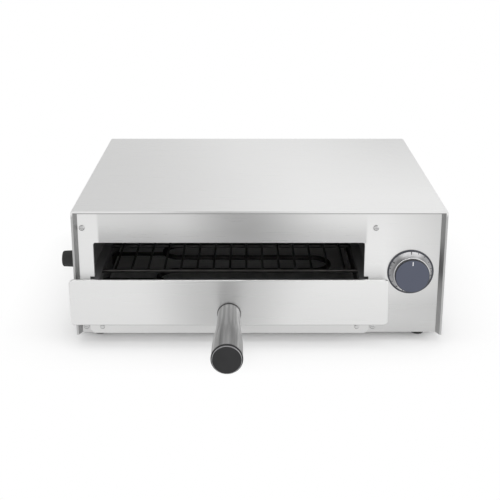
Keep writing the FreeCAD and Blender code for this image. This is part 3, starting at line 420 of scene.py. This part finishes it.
def make_plate_finish(name):
    """Brushed sheet with painted shade on its lower bend."""
    finish, _ = make_stainless(name)
    facing = finish.split(finish.node("ShaderNodeNewGeometry").outputs["Normal"])[2]
    downward = finish.ranged(facing, 1.0, 0.0, *BEND_UNDER)
    finish.vary("Base Color", finish.mixed_color(downward, STEEL, BEND_SHADE))
    return finish.material


def make_plain(name, color, darker, roughness, metallic, scale):
    """A material with uneven colour and a fine surface texture."""
    finish = Finish(name, color, roughness, metallic)
    smudged(finish, color, darker, scale)
    add_grit(finish)
    return finish.material


def make_drawn_tube(name):
    """Drawn tube with streaks along its length."""
    finish = Finish(name, TUBE_COLOR, sum(TUBE_ROUGHNESS) / 2, 1.0, anisotropic=TUBE_ANISOTROPY,
                    anisotropic_rotation=TUBE_ROTATION)
    drawn = finish.noise(finish.vector_math("MULTIPLY", finish.place(), TUBE_STREAKS), 1.0)
    share = finish.ranged(drawn, 0.0, 1.0, *PATCH_LEVELS)
    finish.vary("Base Color", finish.mixed_color(share, TUBE_COLOR, TUBE_DARK))
    finish.vary("Roughness", finish.ranged(drawn, *TUBE_ROUGHNESS, *GRAIN_LEVELS))
    around = finish.node("ShaderNodeTangent", {"direction_type": "RADIAL", "axis": "Y"})
    finish.vary("Tangent", around.outputs["Tangent"])
    return finish.material


def make_spun(name, node):
    """Disc brushed in rings, with a painted sheen above and below its middle, where the rings would give
    one.
    """
    finish = Finish(name, DIAL_HIGHLIGHT_COLOR, DIAL_ROUGHNESS, DIAL_METAL)
    around = finish.vector_math("SUBTRACT", finish.place(), middle(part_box(node)))
    level = finish.split(finish.vector_math("NORMALIZE", around))[2]
    painted_sheen = finish.ranged(finish.math("ABSOLUTE", level), 0.0, 1.0, *DIAL_PAINTED_SHEEN, smooth=True)
    finish.vary("Base Color", finish.mixed_color(painted_sheen, DIAL_DARK, DIAL_HIGHLIGHT_COLOR))
    return finish.material


def make_head(name, color, shade_color):
    """Fastener heads, with painted shade on the side that faces down."""
    finish = Finish(name, color, HEAD_ROUGHNESS, 1.0)
    facing = finish.split(finish.node("ShaderNodeNewGeometry").outputs["Normal"])[2]
    downward = finish.ranged(facing, 1.0, 0.0, *HEAD_SHADE_FACING)
    finish.vary("Base Color", finish.mixed_color(downward, color, shade_color))
    add_grit(finish)
    return finish.material


def make_knob_face(name):
    """Printed face on a moulded cap with darker sides."""
    finish = Finish(name, KNOB_COLOR, KNOB_ROUGHNESS)
    facing = finish.split(finish.node("ShaderNodeNewGeometry").outputs["Normal"])[1]
    front = finish.ranged(facing, 1.0, 0.0, *KNOB_FRONT)
    finish.vary("Base Color", finish.mixed_color(front, KNOB_SIDE, KNOB_COLOR))
    add_grit(finish)
    return finish.material


def middle(box):
    """The middle of a box given by two corners."""
    return (box[0] + box[1]) / 2


finishes = {name: make_plain(name, *values) for name, values in PLAIN_FINISHES.items()}
finishes["stainless"] = make_stainless("stainless")[0].material
finishes["polished_steel"] = make_drawn_tube("polished_steel")
finishes["dial_silver"] = make_spun("dial_silver", "dial_plate")
finishes["knob_face"] = make_knob_face("knob_face")
finishes["screw_steel"] = make_head("screw_steel", *SCREW_COLORS)

own_finishes = {
    "front_panel": make_fascia("stainless_fascia"),
    "hood": make_hood_finish("stainless_hood"),
    "rack_front": make_plate_finish("stainless_plate"),
    "tray_front": make_stainless("stainless_lip", LIP_SHADE_STEEL, LIP_SHADE_DULL_STEEL)[0].material,
    "tray_rivets": make_head("rivet_steel", *RIVET_COLORS),
    # the chamber's back wall gets paler enamel as painted light
    "chamber_back": finishes["enamel_painted_light"],
    "crumb_tray": finishes["tray_sheet"],
}
for subpart in frame["record"]["subparts"]:
    mesh = nodes[subpart["node"]].data
    mesh.materials.clear()
    mesh.materials.append(own_finishes.get(subpart["node"], finishes[subpart["material_slot"]]))


def add_piece(name, mesh, body, material):
    """A piece of detail on a body, with its finish."""
    piece = bpy.data.objects.new(name, mesh)
    bpy.context.scene.collection.objects.link(piece)
    mesh.materials.append(material)
    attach(piece, body)


def add_bar(shape, place, turn, radius, width, length):
    """A thin bar of print on a face to the front, from a radius inward, turned clockwise from the top."""
    size = Matrix.Diagonal((width, MARK_HEIGHT, length, 1.0))
    outward = Matrix.Translation((0.0, -MARK_HEIGHT / 2, radius - length / 2))
    turned = Matrix.Translation(place) @ Matrix.Rotation(turn, 4, "Y")
    bmesh.ops.create_cube(shape, size=1.0, matrix=turned @ outward @ size)


def mesh_from(name, shape):
    """A mesh of a finished shape."""
    mesh = bpy.data.meshes.new(name)
    shape.to_mesh(mesh)
    shape.free()
    return mesh


def add_dial_marks():
    """Minute ticks clockwise from the top, and a number beside each fifth one."""
    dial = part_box("dial_plate")
    radius = (dial[1].x - dial[0].x) / 2 - TICK_EDGE
    face = Vector((middle(dial).x, dial[0].y, middle(dial).z))
    shape = bmesh.new()
    for minute in range(DIAL_MINUTES + 1):
        turn = DIAL_SWEEP * minute / DIAL_MINUTES
        if minute % LONG_TICK_EVERY:
            add_bar(shape, face, turn, radius, TICK_WIDTH, TICK_LENGTH)
        else:
            add_bar(shape, face, turn, radius, LONG_TICK_WIDTH, LONG_TICK_LENGTH)
    add_piece("dial_ticks", mesh_from("dial_ticks", shape), "housing", finishes["dark_print"])
    for minute in range(LONG_TICK_EVERY, DIAL_MINUTES + 1, LONG_TICK_EVERY):
        turn = DIAL_SWEEP * minute / DIAL_MINUTES - NUMBER_TURN
        add_number(minute, face, turn, radius - TICK_LENGTH / 2)


def add_number(minute, face, turn, radius):
    """An upright number on the dial, at a turn clockwise from the top."""
    text = bpy.data.curves.new(f"dial_number_{minute}", "FONT")
    text.body = str(minute)
    text.size = NUMBER_SIZE
    text.align_x = "CENTER"
    text.align_y = "CENTER"
    text.extrude = MARK_HEIGHT
    number = bpy.data.objects.new(f"dial_number_{minute}", text)
    bpy.context.scene.collection.objects.link(number)
    number.location = face + Vector((radius * math.sin(turn), 0.0, radius * math.cos(turn)))
    number.rotation_euler = (math.pi / 2, 0.0, 0.0)
    text.materials.append(finishes["dark_print"])
    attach(number, "housing")


def add_knob_pointer():
    """White line on the knob's cap, up when the timer is at zero."""
    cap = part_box("knob_cap")
    radius = (cap[1].x - cap[0].x) / 2 - POINTER_EDGE
    shape = bmesh.new()
    face = Vector((middle(cap).x, cap[0].y, middle(cap).z))
    add_bar(shape, face, 0.0, radius, POINTER_WIDTH, POINTER_LENGTH)
    add_piece("knob_pointer", mesh_from("knob_pointer", shape), "timer",
              finishes["white_print"])


def add_ring(name, center, inner, outer, front, back, body, material):
    """A ring of trim about an axis to the front, with its outer edges broken."""
    section = ((inner, front), (outer - RING_EDGE, front), (outer, front + RING_EDGE),
               (outer, back - RING_EDGE), (outer - RING_EDGE, back), (inner, back))
    shape = bmesh.new()
    rings = []
    for step in range(RING_STEPS):
        turn = 2 * math.pi * step / RING_STEPS
        across = Vector((math.sin(turn), 0.0, math.cos(turn)))
        places = [Vector((center.x, y, center.z)) + across * radius for radius, y in section]
        rings.append([shape.verts.new(place) for place in places])
    for ring, after in zip(rings, rings[1:] + rings[:1]):
        for k in range(len(section)):
            shape.faces.new((ring[k - 1], ring[k], after[k], after[k - 1]))
    bmesh.ops.recalc_face_normals(shape, faces=shape.faces)
    add_piece(name, mesh_from(name, shape), body, material)


def add_knob_ring():
    """Bright ring round the knob, behind its cap: a painted highlight on the knob's edge."""
    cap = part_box("knob_cap")
    outer = (cap[1].x - cap[0].x) / 2 + KNOB_RING_PAST
    front = cap[1].y + RING_GAP
    add_ring("knob_highlight_ring", middle(cap), outer - KNOB_RING_WIDTH, outer, front, front + KNOB_RING_THICKNESS,
             "timer", finishes["painted_highlight"])


def add_handle_ring():
    """Grey ring round the raised face of the handle's end."""
    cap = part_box("handle_cap")
    inner = (cap[1].x - cap[0].x) / 2 - HANDLE_RING_INSET
    front = cap[0].y + HANDLE_RING_SETBACK
    add_ring("handle_ring", middle(cap), inner, inner + HANDLE_RING_WIDTH, front,
             front + HANDLE_RING_THICKNESS, "rack", finishes["grey_trim"])


add_dial_marks()
add_knob_pointer()
add_knob_ring()
add_handle_ring()


def seen_share(tree):
    """1 for what the camera, metal and glass see, and 0 for light on other surfaces."""
    path = tree.nodes.new("ShaderNodeLightPath")
    share = path.outputs["Is Camera Ray"]
    for name in ("Is Glossy Ray", "Is Transmission Ray"):
        either = tree.nodes.new("ShaderNodeMath")
        either.operation = "MAXIMUM"
        tree.links.new(share, either.inputs[0])
        tree.links.new(path.outputs[name], either.inputs[1])
        share = either.outputs[0]
    return share


def make_world():
    """White for the camera and for metal, and a softer light for the rest."""
    world = bpy.data.worlds.new("studio")
    bpy.context.scene.world = world
    world.use_nodes = True
    tree = world.node_tree
    background = tree.nodes["Background"]
    background.inputs["Color"].default_value = (*WHITE, 1.0)
    strength = tree.nodes.new("ShaderNodeMapRange")
    tree.links.new(seen_share(tree), strength.inputs["Value"])
    strength.inputs["To Min"].default_value = WORLD_FILL
    strength.inputs["To Max"].default_value = 1.0
    tree.links.new(strength.outputs["Result"], background.inputs["Strength"])


def add_stage(name, points, faces, material):
    """A piece of the studio, which is no part of the object."""
    mesh = bpy.data.meshes.new(name)
    mesh.from_pydata(points, [], faces)
    mesh.materials.append(material)
    made = bpy.data.objects.new(name, mesh)
    bpy.context.scene.collection.objects.link(made)
    return made


def make_floor():
    """Pale floor that keeps the shadow near the casing and turns white further away."""
    finish = Finish("floor", FLOOR_COLOR, FLOOR_ROUGHNESS)
    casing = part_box("hood")
    core = (casing[0] + Vector((0.0, FLOOR_CORE_INSET, 0.0)), casing[1])
    center = middle(core)
    half = core[1] - center
    x, y, _ = finish.split(finish.place())
    gaps = []
    for value, place, reach in ((x, center.x, half.x), (y, center.y, half.y)):
        away = finish.math("ABSOLUTE", finish.math("SUBTRACT", value, place))
        gaps.append(finish.math("MAXIMUM", finish.math("SUBTRACT", away, reach), 0.0))
    distance = finish.math("SQRT", finish.math("ADD", finish.math("MULTIPLY", gaps[0], gaps[0]),
                                               finish.math("MULTIPLY", gaps[1], gaps[1])))
    clear = finish.math("POWER", finish.ranged(distance, 0.0, 1.0, 0.0, FLOOR_CLEAR_END), FLOOR_CLEAR_POWER)
    share = finish.math("MULTIPLY", clear, seen_share(finish.tree))
    glow = finish.node("ShaderNodeEmission", color=(*WHITE, 1.0), strength=1.0)
    mixed = finish.node("ShaderNodeMixShader", fac=share)
    finish.feed(mixed.inputs[1], finish.shader.outputs["BSDF"])
    finish.feed(mixed.inputs[2], glow.outputs["Emission"])
    finish.output(mixed.outputs["Shader"])
    half_size = FLOOR_SIZE / 2
    corners = [(-half_size, -half_size, 0.0), (half_size, -half_size, 0.0), (half_size, half_size, 0.0),
               (-half_size, half_size, 0.0)]
    add_stage("floor", corners, [(0, 1, 2, 3)], finish.material)


def add_card(name, turn, reach, rise, tone):
    """A studio card that only metal shows, from the floor up and over the object, with a tone by place."""
    finish = Finish(name, WHITE, 1.0)
    place = finish.split(finish.node("ShaderNodeNewGeometry").outputs["Position"])
    upward = finish.ranged(place[2], 1.0, CARD_OVERHEAD, *rise, smooth=True)
    strength = finish.math("MINIMUM", tone(finish, *place), upward)
    glow = finish.node("ShaderNodeEmission", color=(*WHITE, 1.0), strength=strength)
    finish.output(glow.outputs["Emission"])
    near, far = reach
    run = ((-near, CARD_LIFT), (-far, CARD_LIFT), (-far, CARD_HEIGHT), CARD_CANOPY)
    points = [(side * CARD_WIDTH / 2, y, z) for y, z in run for side in (-1, 1)]
    faces = [(k, k + 1, k + 3, k + 2) for k in range(0, len(points) - 2, 2)]
    card = add_stage(name, points, faces, finish.material)
    card.rotation_euler = (0.0, 0.0, turn)
    for kind in ("camera", "diffuse", "transmission", "shadow"):
        setattr(card, f"visible_{kind}", False)


def front_tone(finish, x, y, z):
    """A dark stripe that spreads to the front, between white sides."""
    slope = finish.math("DIVIDE", x, finish.math("SUBTRACT", FRONT_CARD_EYE, y))
    stripe = finish.ranged(z, *FRONT_CARD_STRIPE, *FRONT_CARD_LEVELS)
    away = finish.math("ABSOLUTE", finish.math("SUBTRACT", slope, stripe))
    dark = finish.ranged(z, *FRONT_CARD_TONES, *FRONT_CARD_LEVELS)
    fade_end = finish.ranged(z, *FRONT_CARD_FADE, *FRONT_CARD_LEVELS)
    core = finish.ranged(z, *FRONT_CARD_CORE, *FRONT_CARD_LEVELS)
    across = finish.ranged(away, dark, 1.0, core, fade_end, smooth=True)
    floor = finish.math("MINIMUM", finish.ranged(x, *FRONT_CARD_LEFT, *FRONT_CARD_LEFT_FADE),
                        finish.ranged(y, *FRONT_CARD_NEAR, *FRONT_CARD_NEAR_FADE))
    low = finish.math("MAXIMUM", floor, finish.ranged(z, 0.0, 1.0, *FRONT_CARD_LEVELS))
    right = finish.ranged(x, *FRONT_CARD_RIGHT, *FRONT_CARD_RIGHT_FADE)
    return finish.math("MINIMUM", across, finish.math("MINIMUM", low, right))


def back_tone(finish, x, y, z):
    """Paler to the right, the more so higher up."""
    right = finish.ranged(z, *BACK_CARD_RIGHT, *BACK_CARD_LEVELS)
    return finish.ranged(x, BACK_CARD_LEFT, right, *BACK_CARD_FADE, smooth=True)


def side_tone(finish, x, y, z):
    """Paler to the back."""
    return finish.ranged(y, *SIDE_CARD_TONES, *SIDE_CARD_FADE, smooth=True)


def add_softbox(name, place, target, width, height, power, mirrored):
    """A lamp that the camera doesn't see."""
    light = bpy.data.lights.new(name, "AREA")
    light.shape = "RECTANGLE"
    light.size = width
    light.size_y = height
    light.energy = power
    lamp = bpy.data.objects.new(name, light)
    bpy.context.scene.collection.objects.link(lamp)
    lamp.location = place
    lamp.rotation_euler = (Vector(target) - Vector(place)).to_track_quat("-Z", "Y").to_euler()
    lamp.visible_camera = False
    lamp.visible_glossy = mirrored


def make_camera():
    """The photo's view from the front and above."""
    data = bpy.data.cameras.new("camera")
    data.sensor_width = SENSOR
    data.lens = SENSOR * FOCAL_PIXELS / IMAGE_SIZE
    data.shift_y = -PICTURE_RISE / IMAGE_SIZE
    data.clip_end = CAMERA_REACH
    camera = bpy.data.objects.new("camera", data)
    bpy.context.scene.collection.objects.link(camera)
    camera.location = CAMERA_PLACE
    camera.rotation_euler = (math.pi / 2 - CAMERA_PITCH, 0.0, 0.0)
    bpy.context.scene.camera = camera


make_world()
make_floor()
add_card("front_card", 0.0, FRONT_CARD_REACH, FRONT_CARD_RISE, front_tone)
add_card("back_card", math.pi, BACK_CARD_REACH, BACK_CARD_RISE, back_tone)
add_card("left_card", -math.pi / 2, SIDE_CARD_REACH, SIDE_CARD_RISE, side_tone)
add_card("right_card", math.pi / 2, SIDE_CARD_REACH, SIDE_CARD_RISE, side_tone)
for name, values in SOFTBOXES.items():
    add_softbox(name, *values)
make_camera()
bpy.context.scene.view_settings.view_transform = "Standard"
